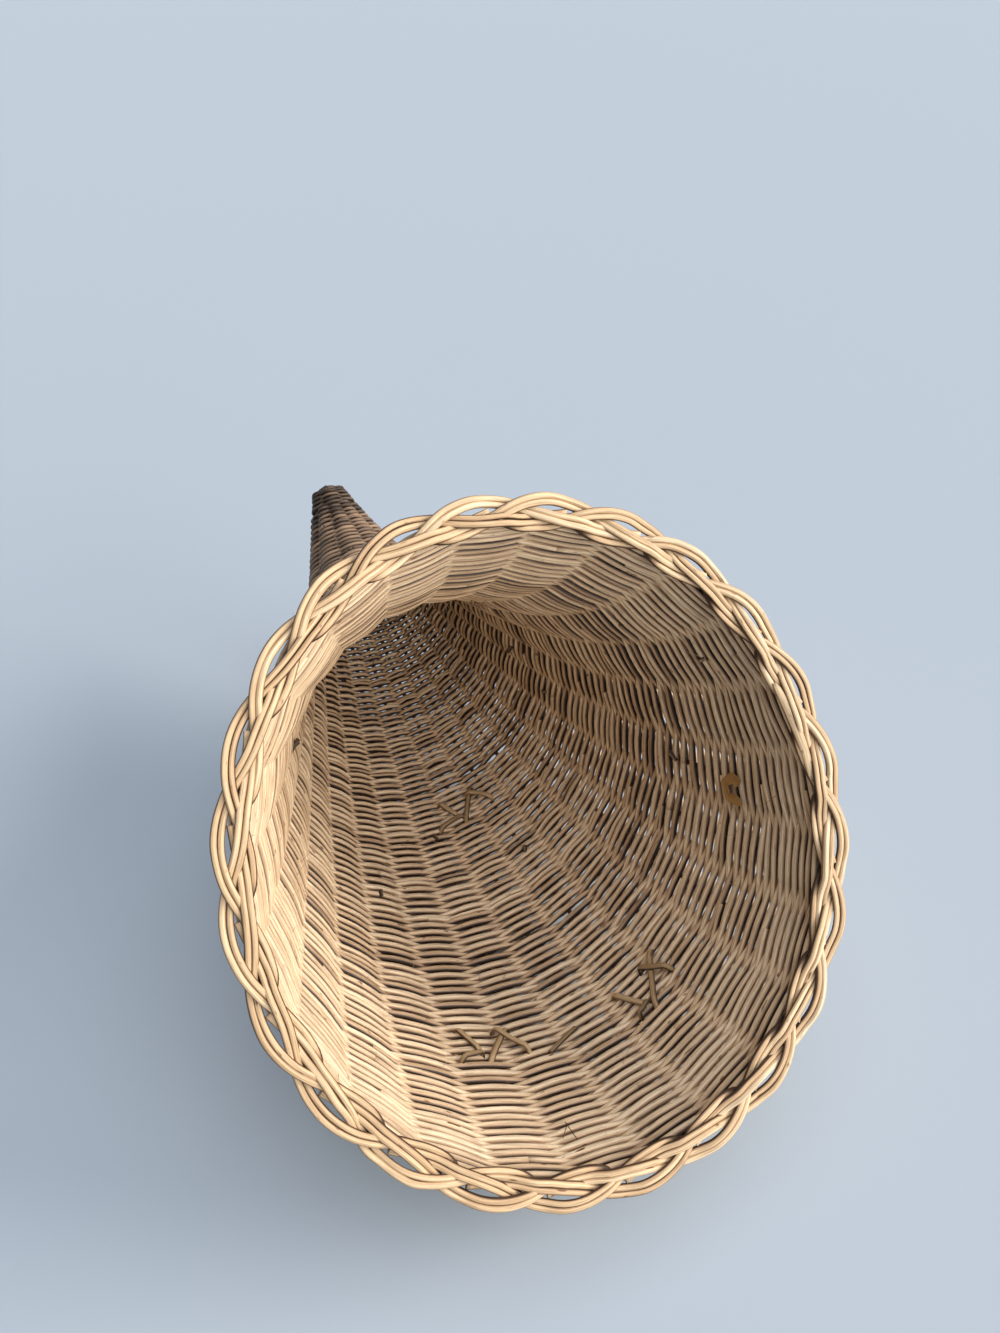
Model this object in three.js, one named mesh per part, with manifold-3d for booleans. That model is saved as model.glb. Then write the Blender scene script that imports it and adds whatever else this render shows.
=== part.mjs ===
// A wicker horn of plenty: a curved, tapering basket of round cane, open at a wide oval mouth.
// Twenty-four stakes run inside the woven wall from the mouth towards the tail. At the mouth they
// turn over and lie side by side, two to a strand, in a flat plait of three strands. Three bent cane
// feet stand under the belly, each held by a cane that is laced to and fro on the inside of the wall.
// Sizes are in millimetres and angles in degrees. Z is up and the mouth opens towards -Y.
import * as THREE from "three";
import { mergeVertices } from "three/addons/utils/BufferGeometryUtils.js";
import Module from "manifold-3d";

// The horn: its middle line lies in the plane X = 0, straight through the border and then an arc
const spineLength = 410;
const mouthDip = 39; // how steeply the middle line goes down as it leaves the mouth
const tipRise = 38; // how steeply it climbs at the tip
const mouthHalfWidth = 132; // from the middle line to the middle of the wall
const mouthHalfHeight = 144;
const tipRadius = 5.5;
const mouthTaper = 0.136; // how fast the wall draws in behind the mouth, mm per mm
const tailTaper = 0.327; // the same at the tip

// The cane
const stakeDiameter = 2.8;
const weaverDiameter = 2.8;
const bayThickness = 5; // of the wall halfway between two stakes, where the weavers cross
const stakeCount = 24;
const firstStakeAngle = -22.5; // so that the middle of the underside lies between two stakes
const stakeClearance = 0.3; // round a stake in its channel through the weave
const seat = 0.3; // between two pieces that touch
const rodSides = 5;
const sharpestMitre = 0.6; // cosine of half the sharpest bend that a rod's section is mitred for

// The weave, in courses: two are laid out from the mouth and the others back from the tip
const mouthCourseEnd = 108;
const middleCourseLength = 104;
const rearEndToTip = 92; // from here on every second stake goes on
const tailEndToTip = 25; // and from here on every fourth
const hollowToTip = 17;
const stakesToTip = 8;
const tipShoulder = 0.72; // of the outline, where the last turn of the weave closes it
const tipDomeHeight = 4.2;
const ringSpacing = 35;

// The plaited border
const strandCount = 3;
const rodsPerStrand = 2;
const plaitSway = 6.1; // how far a strand swings to each side of the middle of the border
const plaitLift = 2.7; // how far it passes over and under
const rodSpacing = 3.15; // between the two rods of a strand
const stepsPerScallop = 4;
const levelWave = 0.005; // a strand is level with the band where its wave over and under is this small
const cutBack = 0.13; // of a scallop, from a rod's cut end to the rod that takes its place

// Where a stake turns over the edge: scallops on, half rod spacings out and plait lifts up. The outer
// rod of a strand takes the wide way round and the inner one the short way
const outerTurn = [
  { on: -0.02, out: 0.55, up: -0.55 },
  { on: 0.07, out: 1.65, up: 0.2 },
];
const innerTurn = [
  { on: -0.01, out: -0.5, up: -0.85 },
  { on: 0.07, out: -0.55, up: -0.1 },
];

// The feet, each a cane bent square, and the canes laced across their ends
const frontFootSetback = 67; // along the middle line, from the mouth
const rearFootInset = 15; // before the rear end of the middle course
const frontLegBays = [1, 2]; // bays between stakes, counted from the middle of the underside
const rearLegBays = [-1, 1];
const footRodDiameter = 4.4;
const footRodSides = 8;
const footSoleDepth = 0.6; // worn off the underside of the rod
const footCorner = 7; // radius of the bend between a leg and the sole
const footCornerSteps = 3;
const legClearance = 0.3; // round a leg in its hole through the wall
const bellyClearance = 4; // under the lowest point of the woven wall
const tieHeight = 13; // along the middle line
const tieOverhang = 4; // past the legs at each end
const tieStrokes = 4;

const radians = THREE.MathUtils.degToRad;
const stakeRadius = stakeDiameter / 2;
const wallHalf = stakeRadius + weaverDiameter;
const bayHalf = bayThickness / 2;
const channelRadius = (stakeRadius + stakeClearance) / Math.cos(Math.PI / rodSides);
const stakePitch = 360 / stakeCount;
const rodScallops = strandCount * rodsPerStrand;
const footRodRadius = footRodDiameter / 2;
const middleCourseEnd = mouthCourseEnd + middleCourseLength;
const rearFootSetback = middleCourseEnd - rearFootInset;
const rearCourseEnd = spineLength - rearEndToTip;
const tailCourseEnd = spineLength - tailEndToTip;
const tipHollowEnd = spineLength - hollowToTip;
const stakeTipEnd = spineLength - stakesToTip;
const undersideAngle = -90;
const wallStart = plaitLift + stakeRadius + seat;
const spineRadius = (spineLength - wallStart) / radians(mouthDip + tipRise);

const caneFinish = { color: 0xcfae82, roughness: 0.62, metalness: 0 };
const weaveFinish = { color: 0xb8936a, roughness: 0.72, metalness: 0 };
const footFinish = { color: 0xa9835a, roughness: 0.66, metalness: 0 };
const tieFinish = { color: 0x7d5c3c, roughness: 0.7, metalness: 0 };

const wasm = await Module();
wasm.setup();

// Where the middle line is at a length s from the mouth, and which way is across the top of it
function spineAt(s) {
  const start = radians(-mouthDip);
  const straight = Math.min(s, wallStart);
  const slope = start + (s - straight) / spineRadius;
  const y = straight * Math.cos(start) + spineRadius * (Math.sin(slope) - Math.sin(start));
  const z = straight * Math.sin(start) + spineRadius * (Math.cos(start) - Math.cos(slope));
  return {
    centre: new THREE.Vector3(0, y, z),
    across: new THREE.Vector3(1, 0, 0),
    top: new THREE.Vector3(0, -Math.sin(slope), Math.cos(slope)),
  };
}

// Half the width of the wall's middle surface: one smooth cubic from the mouth to the tip
function halfWidthAt(s) {
  const t = Math.max(0, s) / spineLength;
  const fromMouth = 2 * t ** 3 - 3 * t ** 2 + 1;
  const fromMouthSlope = t ** 3 - 2 * t ** 2 + t;
  const fromTipSlope = t ** 3 - t ** 2;
  return (
    fromMouth * mouthHalfWidth +
    (1 - fromMouth) * tipRadius -
    fromMouthSlope * spineLength * mouthTaper -
    fromTipSlope * spineLength * tailTaper
  );
}

// The mouth is an oval that turns round towards the tip
function halfHeightAt(s) {
  const oval = mouthHalfHeight / mouthHalfWidth - 1;
  const t = Math.max(0, s) / spineLength;
  return halfWidthAt(s) * (1 + oval * (1 - t) ** 2);
}

// A point of a cross section, as [across, up], at an angle and at an offset out from the wall's middle
function sectionPoint(s, angle, offset = 0) {
  const a = radians(angle);
  return [(halfWidthAt(s) + offset) * Math.cos(a), (halfHeightAt(s) + offset) * Math.sin(a)];
}

function place(s, [across, up]) {
  const { centre, across: x, top } = spineAt(s);
  return centre.clone().addScaledVector(x, across).addScaledVector(top, up);
}

const wallPoint = (s, angle, offset) => place(s, sectionPoint(s, angle, offset));

const stakeAngle = (index) => firstStakeAngle - index * stakePitch;

// The stakes that are still there behind a given place: all, then every second, then every fourth
function stakesAt(s) {
  const step = s < rearCourseEnd ? 1 : s < tailCourseEnd ? 2 : 4;
  return Array.from({ length: stakeCount / step }, (_, i) => i * step);
}

// Places along the middle line from one end to the other, no further apart than the ring spacing
function stations(from, to) {
  const count = Math.max(1, Math.round((to - from) / ringSpacing));
  return Array.from({ length: count + 1 }, (_, i) => from + ((to - from) * i) / count);
}

// A point on the face of a course as it is built, straight from one ring to the next
function facePoint(rings, s, angle, offset) {
  const next = rings.findIndex((ring) => ring > s);
  const [from, to] = [rings[next - 1], rings[next]];
  return wallPoint(from, angle, offset).lerp(wallPoint(to, angle, offset), (s - from) / (to - from));
}

function solidOf(geometry) {
  const bare = new THREE.BufferGeometry().setAttribute("position", geometry.getAttribute("position"));
  const merged = mergeVertices(bare.setIndex(geometry.index));
  const vertProperties = merged.getAttribute("position").array;
  const triVerts = new Uint32Array(merged.index.array);
  return new wasm.Manifold(new wasm.Mesh({ numProp: 3, vertProperties, triVerts }));
}

function cutBy(geometry, tools) {
  const left = tools.reduce((solid, tool) => solid.subtract(solidOf(tool)), solidOf(geometry));
  const { vertProperties, triVerts } = left.getMesh();
  const result = new THREE.BufferGeometry();
  result.setAttribute("position", new THREE.BufferAttribute(vertProperties, 3));
  result.setIndex(new THREE.BufferAttribute(triVerts, 1));
  const faceted = result.toNonIndexed();
  faceted.computeVertexNormals();
  return faceted;
}

// A closed solid from rings of points. The outside and each channel are lists of rings [s, points];
// a list that ends in a single point closes there, and any other ends in the rear face.
function ringSolid(outside, channels) {
  const vertices = [];
  const faces = [];
  const lists = [outside, ...channels];
  const indexed = lists.map((rings) =>
    rings.map(([s, points]) =>
      points.map((point) => {
        vertices.push(place(s, point));
        return vertices.length - 1;
      }),
    ),
  );
  const addFace = (a, b, c, flip) => faces.push(flip ? [a, c, b] : [a, b, c]);

  indexed.forEach((rings, which) => {
    const flip = which === 0;
    for (let r = 0; r + 1 < rings.length; r++) {
      const [near, far] = [rings[r], rings[r + 1]];
      for (let i = 0; i < near.length; i++) {
        const j = (i + 1) % near.length;
        if (far.length === 1) {
          addFace(near[i], near[j], far[0], flip);
        } else {
          addFace(near[i], near[j], far[j], flip);
          addFace(near[i], far[j], far[i], flip);
        }
      }
    }
  });

  const capFace = (pick, isRear) => {
    const used = lists.map((rings, i) => [pick(rings), pick(indexed[i])]);
    const open = used.filter(([[, points]]) => points.length > 1);
    const [contour, ...holes] = open.map(([[, points]]) => points.map(([x, y]) => new THREE.Vector2(x, y)));
    const order = open.flatMap(([, ring]) => ring);
    for (const [a, b, c] of THREE.ShapeUtils.triangulateShape(contour, holes)) {
      const [p, q, r] = [a, b, c].map((i) => [contour, ...holes].flat()[i]);
      const left = (q.x - p.x) * (r.y - p.y) - (q.y - p.y) * (r.x - p.x) > 0;
      addFace(order[a], order[b], order[c], left === isRear);
    }
  };
  capFace((rings) => rings[0], false);
  if (outside.at(-1)[1].length > 1) capFace((rings) => rings.at(-1), true);

  const geometry = new THREE.BufferGeometry();
  geometry.setAttribute("position", new THREE.Float32BufferAttribute(vertices.flatMap((v) => v.toArray()), 3));
  geometry.setIndex(faces.flat());
  const solid = geometry.toNonIndexed();
  solid.computeVertexNormals();
  return solid;
}

// The outline of the woven wall's inner or outer face: full over each stake and drawn in between them
function flutedRing(s, stakes, side) {
  const pitch = 360 / stakes.length;
  return stakes
    .toReversed()
    .flatMap((index) => [
      sectionPoint(s, stakeAngle(index) - pitch / 2, side * bayHalf),
      sectionPoint(s, stakeAngle(index), side * wallHalf),
    ]);
}

function channelRing(s, index) {
  const [x, y] = sectionPoint(s, stakeAngle(index));
  return Array.from({ length: rodSides }, (_, i) => {
    const turn = (2 * Math.PI * i) / rodSides;
    return [x + channelRadius * Math.cos(turn), y + channelRadius * Math.sin(turn)];
  });
}

// One course of the weave, open at both ends, with a channel for each stake
function weaveCourse(rings) {
  const stakes = stakesAt(rings[0]);
  const outside = rings.map((s) => [s, flutedRing(s, stakes, 1)]);
  const inside = rings.map((s) => [s, flutedRing(s, stakes, -1)]);
  const channels = stakes.map((index) => rings.map((s) => [s, channelRing(s, index)]));
  return ringSolid(outside, [inside, ...channels]);
}

// The last course is closed: its hollow ends in a point, the channels end blind, and the outside is blunt
function tipCourse(from) {
  const stakes = stakesAt(from);
  const channelEnd = stakeTipEnd + seat;
  const middle = (from + channelEnd) / 2;
  const shrunk = (ring, share) => ring.map(([x, y]) => [x * share, y * share]);
  const endRing = flutedRing(channelEnd, stakes, 1);
  const outside = [
    [from, flutedRing(from, stakes, 1)],
    [middle, flutedRing(middle, stakes, 1)],
    [channelEnd, endRing],
    [channelEnd + weaverDiameter, shrunk(endRing, tipShoulder)],
    [channelEnd + tipDomeHeight, [[0, 0]]],
  ];
  const inside = [
    [from, flutedRing(from, stakes, -1)],
    [tipHollowEnd, [[0, 0]]],
  ];
  const channels = stakes.map((index) => [
    [from, channelRing(from, index)],
    [middle, channelRing(middle, index)],
    [channelEnd, channelRing(channelEnd, index)],
    [channelEnd, [sectionPoint(channelEnd, stakeAngle(index))]],
  ]);
  return ringSolid(outside, [inside, ...channels]);
}

// A rod: a section carried along a path of points, square to it, with flat cut ends
function rodAlong(path, section, firstSide) {
  const vertices = [];
  const faces = [];
  let side = firstSide.clone();
  path.forEach((point, i) => {
    const back = path[Math.max(0, i - 1)];
    const ahead = path[Math.min(path.length - 1, i + 1)];
    const into = point.clone().sub(back).normalize();
    const out = ahead.clone().sub(point).normalize();
    const along = into.clone().add(out).normalize();
    side = side.addScaledVector(along, -side.dot(along)).normalize();
    const other = along.clone().cross(side);
    const bend = into.lengthSq() && out.lengthSq() ? out.clone().sub(into) : new THREE.Vector3();
    const stretch = bend.lengthSq() ? 1 / Math.max(sharpestMitre, into.dot(along)) - 1 : 0;
    bend.normalize();
    for (const [x, y] of section) {
      const corner = side.clone().multiplyScalar(x).addScaledVector(other, y);
      corner.addScaledVector(bend, stretch * corner.dot(bend));
      vertices.push(point.clone().add(corner));
    }
  });
  const n = section.length;
  for (let i = 0; i + 1 < path.length; i++) {
    for (let k = 0; k < n; k++) {
      const [a, b] = [i * n + k, i * n + ((k + 1) % n)];
      faces.push([a, b, b + n], [a, b + n, a + n]);
    }
  }
  const last = (path.length - 1) * n;
  for (let k = 1; k + 1 < n; k++) {
    faces.push([0, k + 1, k], [last, last + k, last + k + 1]);
  }
  const geometry = new THREE.BufferGeometry();
  geometry.setAttribute("position", new THREE.Float32BufferAttribute(vertices.flatMap((v) => v.toArray()), 3));
  geometry.setIndex(faces.flat());
  const solid = geometry.toNonIndexed();
  solid.computeVertexNormals();
  return solid;
}

function roundSection(radius, sides) {
  return Array.from({ length: sides }, (_, i) => {
    const turn = (2 * Math.PI * (i + 0.5)) / sides;
    return [radius * Math.cos(turn), radius * Math.sin(turn)];
  });
}

// A point of the border: round the mouth by scallops, out from the middle of the band, and up off the wall
function borderPoint(scallops, out, up) {
  const a = radians(firstStakeAngle - scallops * stakePitch);
  const { centre, across, top } = spineAt(0);
  const outward = new THREE.Vector2(Math.cos(a) / mouthHalfWidth, Math.sin(a) / mouthHalfHeight).normalize();
  const x = mouthHalfWidth * Math.cos(a) + outward.x * out;
  const y = mouthHalfHeight * Math.sin(a) + outward.y * out;
  const offWall = across.clone().cross(top);
  return centre.clone().addScaledVector(across, x).addScaledVector(top, y).addScaledVector(offWall, up);
}

// Each step of a strand as it swings out and in, over and under: two flat-topped waves to a plait
function plaitPoint(start, step, slot) {
  const stepsPerPlait = strandCount * stepsPerScallop;
  const phase = (2 * Math.PI * step) / stepsPerPlait;
  const wave = Math.sin(2 * phase);
  const lift = Math.abs(wave) < levelWave ? 0 : plaitLift * Math.sign(wave);
  return borderPoint(start + step / stepsPerScallop, plaitSway * Math.sin(phase) + slot, lift);
}

// A stake from the tail to the mouth, over the edge of the wall and on through the plait
function stake(index) {
  const inWall = [
    [wallStart, mouthCourseEnd],
    [mouthCourseEnd, middleCourseEnd],
    [middleCourseEnd, rearCourseEnd],
    [rearCourseEnd, tailCourseEnd],
    [tailCourseEnd, stakeTipEnd],
  ]
    .filter(([from]) => stakesAt(from).includes(index))
    .flatMap(([from, to], i) => {
      const places = to === stakeTipEnd ? [from, (from + to) / 2, to] : stations(from, to);
      return i ? places.slice(1) : places;
    });
  inWall[inWall.length - 1] -= stakeRadius;
  const isOuter = Math.floor(index / strandCount) % rodsPerStrand === 0;
  const slot = (rodSpacing / 2) * (isOuter ? 1 : -1);
  const overEdge = (isOuter ? outerTurn : innerTurn).map(({ on, out, up }) =>
    borderPoint(index + on, (out * rodSpacing) / 2, up * plaitLift),
  );
  const lastStep = rodScallops * stepsPerScallop;
  const plaited = Array.from({ length: lastStep - 1 }, (_, i) => plaitPoint(index, i + 1, slot));
  const cutEnd = plaitPoint(index, lastStep, slot).lerp(plaited.at(-1), cutBack * stepsPerScallop);
  const insideWall = inWall.toReversed().map((s) => wallPoint(s, stakeAngle(index)));
  const path = [...insideWall, ...overEdge, ...plaited, cutEnd];
  return rodAlong(path, roundSection(stakeRadius, rodSides), spineAt(0).across);
}

// The lowest point of the woven wall, which the feet hold clear of the table
function bellyHeight() {
  const heights = stations(wallStart, tailCourseEnd).flatMap((s) =>
    stakesAt(s).map((index) => wallPoint(s, stakeAngle(index), wallHalf).z),
  );
  return Math.min(...heights);
}

const tableHeight = bellyHeight() - bellyClearance;

// The end of a leg, level with the inside of the wall halfway between two stakes
const legEnd = (setback, bay) => wallPoint(setback, undersideAngle + bay * stakePitch, -bayHalf);

// A foot is one cane: down through the wall, along the table and up through the wall again
function foot(setback, bays) {
  const ends = bays.map((bay) => legEnd(setback, bay));
  const along = ends[1].clone().sub(ends[0]).setZ(0).normalize();
  const sole = tableHeight + footRodRadius - footSoleDepth;
  const corner = (end, inward) =>
    Array.from({ length: footCornerSteps + 1 }, (_, i) => {
      const turn = ((Math.PI / 2) * i) / footCornerSteps;
      const point = end.clone().addScaledVector(along, inward * footCorner * (1 - Math.cos(turn)));
      return point.setZ(sole + footCorner * (1 - Math.sin(turn)));
    });
  const path = [ends[0], ...corner(ends[0], 1), ...corner(ends[1], -1).toReversed(), ends[1]];
  const table = new THREE.BoxGeometry(2 * mouthHalfWidth, 2 * spineLength, footRodDiameter);
  table.translate(0, ends[0].y, tableHeight - footRodRadius);
  const square = new THREE.Vector3(-along.y, along.x, 0);
  return cutBy(rodAlong(path, roundSection(footRodRadius, footRodSides), square), [table]);
}

// The holes that a foot's legs go through, upright like the legs
function legHoles(setback, bays) {
  const [left, right] = bays.map((bay) => legEnd(setback, bay));
  const along = right.clone().sub(left);
  const square = new THREE.Vector3(-along.y, along.x, 0).normalize();
  const radius = (footRodRadius + legClearance) / Math.cos(Math.PI / footRodSides);
  const reach = 2 * wallHalf;
  return [left, right].map((end) => {
    const path = [end.clone().setZ(tableHeight), end.clone().setZ(end.z + reach)];
    return rodAlong(path, roundSection(radius, footRodSides), square);
  });
}

// A cane laced to and fro across the ends of a foot's legs, on the inside of the wall
function tie(rings, setback, bays) {
  const overhang = THREE.MathUtils.radToDeg(tieOverhang / halfWidthAt(setback));
  const [from, to] = [bays[0] * stakePitch - overhang, bays[1] * stakePitch + overhang];
  const offset = -wallHalf - seat - weaverDiameter / 2;
  const path = Array.from({ length: tieStrokes + 1 }, (_, i) => {
    const s = setback + (tieHeight / 2) * (i % 2 ? -1 : 1);
    return facePoint(rings, s, undersideAngle + from + ((to - from) * i) / tieStrokes, offset);
  });
  return rodAlong(path, roundSection(weaverDiameter / 2, rodSides), spineAt(setback).top);
}

const basket = new THREE.Group();

function add(name, geometry, finish) {
  const mesh = new THREE.Mesh(geometry, new THREE.MeshStandardMaterial(finish));
  mesh.name = name;
  basket.add(mesh);
}

for (let index = 0; index < stakeCount; index++) {
  add(`stake_${String(index + 1).padStart(2, "0")}`, stake(index), caneFinish);
}

const mouthRings = stations(wallStart, mouthCourseEnd - seat / 2);
const middleRings = stations(mouthCourseEnd + seat / 2, middleCourseEnd - seat / 2);
const rearRings = stations(middleCourseEnd + seat / 2, rearCourseEnd - seat / 2);
const tailRings = stations(rearCourseEnd + seat / 2, tailCourseEnd - seat / 2);

const mirrored = (bays) => bays.map((bay) => -bay).toReversed();
const feet = [
  { place: "front_left", rings: mouthRings, setback: frontFootSetback, bays: mirrored(frontLegBays) },
  { place: "front_right", rings: mouthRings, setback: frontFootSetback, bays: frontLegBays },
  { place: "rear", rings: middleRings, setback: rearFootSetback, bays: rearLegBays },
];
const holesIn = (rings) =>
  feet.filter((one) => one.rings === rings).flatMap(({ setback, bays }) => legHoles(setback, bays));

add("mouth_weave", cutBy(weaveCourse(mouthRings), holesIn(mouthRings)), weaveFinish);
add("middle_weave", cutBy(weaveCourse(middleRings), holesIn(middleRings)), weaveFinish);
add("rear_weave", weaveCourse(rearRings), weaveFinish);
add("tail_weave", weaveCourse(tailRings), weaveFinish);
add("tip_weave", tipCourse(tailCourseEnd + seat / 2), weaveFinish);
for (const { place: where, rings, setback, bays } of feet) {
  add(`foot_${where}`, foot(setback, bays), footFinish);
  add(`tie_${where}`, tie(rings, setback, bays), tieFinish);
}

// The origin is on the table, under the middle of the basket's length, in its plane of symmetry
const box = new THREE.Box3().setFromObject(basket);
basket.position.set(0, -(box.min.y + box.max.y) / 2, -tableHeight);

export default basket;
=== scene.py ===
# %% [markdown]
# # A wicker horn of plenty
#
# The real basket is made from one material, round cane. Twenty-four stakes run from the tail to the mouth.
# Two weavers at a time pass in front of one stake and behind the next, row after row, and make the wall. At
# the mouth the stakes turn over and are plaited into a flat border.
#
# The CAD frame gives the true sizes and the solids. This script dresses it: every weaver, stake, foot and
# tie is drawn as its own cane, along the same middle line and the same oval sections as the solids. All
# lengths are in millimetres until a mesh is written.

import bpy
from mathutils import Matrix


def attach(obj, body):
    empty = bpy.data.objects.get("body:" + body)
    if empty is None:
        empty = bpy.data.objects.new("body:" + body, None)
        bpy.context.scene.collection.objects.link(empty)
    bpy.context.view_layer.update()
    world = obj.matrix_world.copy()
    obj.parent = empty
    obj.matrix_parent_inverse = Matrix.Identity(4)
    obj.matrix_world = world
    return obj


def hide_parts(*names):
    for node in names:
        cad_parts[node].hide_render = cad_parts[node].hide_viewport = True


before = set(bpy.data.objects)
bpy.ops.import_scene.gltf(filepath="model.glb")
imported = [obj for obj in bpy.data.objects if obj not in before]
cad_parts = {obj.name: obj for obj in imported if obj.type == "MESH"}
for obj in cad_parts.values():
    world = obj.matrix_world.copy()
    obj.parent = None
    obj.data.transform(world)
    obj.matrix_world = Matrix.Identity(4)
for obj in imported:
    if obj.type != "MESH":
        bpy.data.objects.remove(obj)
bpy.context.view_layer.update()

import bpy
import numpy as np
from mathutils import Matrix

# %% [markdown]
# ## The horn's form
#
# One option is to measure the solids for every point; the other is to write the horn's form again as a
# formula. The formula is better here, because the weavers need the wall's surface at any place and any
# angle. The numbers are the basket's real sizes.

# %% Sizes of the horn
SPINE_LENGTH = 410.0                            # of the middle line, from the mouth to the tip
MOUTH_DIP, TIP_RISE = np.radians(39.0), np.radians(38.0)
MOUTH_HALF_WIDTH, MOUTH_HALF_HEIGHT, TIP_RADIUS = 132.0, 144.0, 5.5
MOUTH_TAPER, TAIL_TAPER = 0.136, 0.327
STRAIGHT = 4.4                                  # the middle line is straight through the border
ARC_RADIUS = (SPINE_LENGTH - STRAIGHT) / (MOUTH_DIP + TIP_RISE)
MOUTH_CENTRE = np.array([0.0, -141.06, 170.12])  # from the origin on the table
ACROSS = np.array([1.0, 0.0, 0.0])
STAKES = 24
FIRST_STAKE = np.radians(-22.5)
PITCH_ANGLE = 2 * np.pi / STAKES
STAKE_RADIUS = WEAVER_RADIUS = 1.4
HALVED, QUARTERED = 318.0, 385.0                # half the stakes go on from here, and a quarter from there
WEAVE_END = 401.0
seeded = np.random.default_rng(24)


def spine(s):
    """Centre and upward direction of the section at length s: a straight start, then an arc that turns from
    the dip towards the rise by (s - start) / radius."""
    s = np.asarray(s, float)
    straight = np.minimum(s, STRAIGHT)
    slope = -MOUTH_DIP + (s - straight) / ARC_RADIUS
    y = straight * np.cos(MOUTH_DIP) + ARC_RADIUS * (np.sin(slope) + np.sin(MOUTH_DIP))
    z = -straight * np.sin(MOUTH_DIP) + ARC_RADIUS * (np.cos(MOUTH_DIP) - np.cos(slope))
    zero = np.zeros_like(y)
    return np.stack([zero, y, z], -1), np.stack([zero, -np.sin(slope), np.cos(slope)], -1)


def half_sizes(s):
    """Half width by the Hermite cubic between the two ends and their tapers, and half height as that width
    times an oval share that fades with the square of the distance to the tip."""
    t = np.maximum(s, 0) / SPINE_LENGTH
    mouth = 2 * t**3 - 3 * t**2 + 1
    half = (mouth * MOUTH_HALF_WIDTH + (1 - mouth) * TIP_RADIUS
            - (t**3 - 2 * t**2 + t) * SPINE_LENGTH * MOUTH_TAPER
            - (t**3 - t**2) * SPINE_LENGTH * TAIL_TAPER)
    oval = MOUTH_HALF_HEIGHT / MOUTH_HALF_WIDTH - 1
    return half, half * (1 + oval * (1 - t) ** 2)


def wall(s, angle, offset=0.0):
    """Point of the wall: centre + (width + offset) cos(angle) across + (height + offset) sin(angle) up."""
    centre, top = spine(s)
    width, height = half_sizes(s)
    sideways = ((width + offset) * np.cos(angle))[..., None] * ACROSS
    return centre + sideways + ((height + offset) * np.sin(angle))[..., None] * top


def outward(s, angle):
    """Direction out of the wall: cos(angle) across + sin(angle) up."""
    top = spine(s)[1]
    return np.cos(angle)[..., None] * ACROSS + np.sin(angle)[..., None] * top


def stake_angle(index):
    """Stakes are counted clockwise, seen from in front of the mouth: first angle - index times the pitch."""
    return FIRST_STAKE - index * PITCH_ANGLE


print("arc radius", round(ARC_RADIUS, 1), "mm; the belly 60 mm from the mouth is at",
      wall(np.array(60.0), np.array(np.radians(270.0))).round(1))

# %% [markdown]
# ## Drawing a cane
#
# A cane is a round section carried along a line of points. A curve object with a bevel would do this too,
# but a mesh keeps the numbers that the material needs on each point: the place along and across the cane in
# millimetres, for the grain, and one tone for each cane, because no two canes have the same colour.

# %% Directions and smooth lines


def unit(v):
    """The vector divided by its own length."""
    return v / np.maximum(np.linalg.norm(v, axis=-1, keepdims=True), 1e-9)


def smooth_line(points, steps):
    """Line through points: on each stretch the cubic whose end directions are half the chord between the
    neighbours, at equal steps."""
    p = np.concatenate([2 * points[:1] - points[1:2], points, 2 * points[-1:] - points[-2:-1]])
    a, b, c, d = (q[:, None] for q in (p[:-3], p[1:-2], p[2:-1], p[3:]))
    t = (np.arange(steps) / steps)[None, :, None]
    curve = 0.5 * (2 * b + (c - a) * t + (2 * a - 5 * b + 4 * c - d) * t**2 + (3 * b - a - 3 * c + d) * t**3)
    return np.concatenate([curve.reshape(-1, 3), points[-1:]])


print("a smooth line through three points:", smooth_line(np.eye(3), 2).round(2).tolist())

# %% One cane
JOINT_DUST_AND_PAINTED_SHADE = 0.95                               # dust and painted shade, taken from the tone where two canes touch
GRAIN_SHIFT = 900                               # each cane is cut from another place in the noise


def cane(points, up, radius=WEAVER_RADIUS, tone=0.5, flat=1.0, swing=0.0, outside_painted_shade=0.0):
    """One cane: its line, the direction of its thickness, its half width, its tone from 0 for dust and
    painted shade to 1 for the palest cane, its thickness as a share of its width, and the swing and the
    painted shade of its outside, which place its dust and painted shade."""
    return {"points": points, "up": np.broadcast_to(up, points.shape), "radius": radius, "tone": tone,
            "flat": flat, "swing": swing, "outside_painted_shade": outside_painted_shade}


def cane_rings(one, turn):
    """Places, grain and tone of a cane's vertices. Vertex k of ring i = point i + radius (flat cos(turn k)
    side + sin(turn k) other), where side is the up direction made square to the line and other is square to
    both. Dust and painted shade make the tone darker: by the joint dust and painted shade times sin(turn) to
    the fourth where a cane touches its neighbours, by swing times cos(turn) on the half that lies against a
    stake, and by outside_painted_shade times cos(turn) on the outside."""
    points = one["points"]
    radius, flat, swing, tone = (np.broadcast_to(one[key], len(points))[:, None]
                                 for key in ("radius", "flat", "swing", "tone"))
    tangent = unit(np.gradient(points, axis=0))
    side = unit(one["up"] - (one["up"] * tangent).sum(-1, keepdims=True) * tangent)
    other = np.cross(tangent, side)
    ring = flat[..., None] * np.cos(turn)[:, None] * side[:, None] + np.sin(turn)[:, None] * other[:, None]
    along = np.concatenate([[0], np.linalg.norm(np.diff(points, axis=0), axis=1).cumsum()])
    grain = np.stack(np.broadcast_arrays(along[:, None], radius * np.cos(turn), radius * np.sin(turn)), -1)
    # Painted shade and dust: darker where canes touch and on the half against a stake; painted shade on the
    # outside of the tail.
    dust_and_painted_shade = (JOINT_DUST_AND_PAINTED_SHADE * np.sin(turn) ** 4 + np.maximum(0, -swing * np.cos(turn))
            + one["outside_painted_shade"] * np.maximum(0, np.cos(turn)))
    grain = grain + seeded.uniform(-GRAIN_SHIFT, GRAIN_SHIFT, 3)
    return points[:, None] + radius[..., None] * ring, grain, tone - dust_and_painted_shade


# %% Cane mesh


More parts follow.
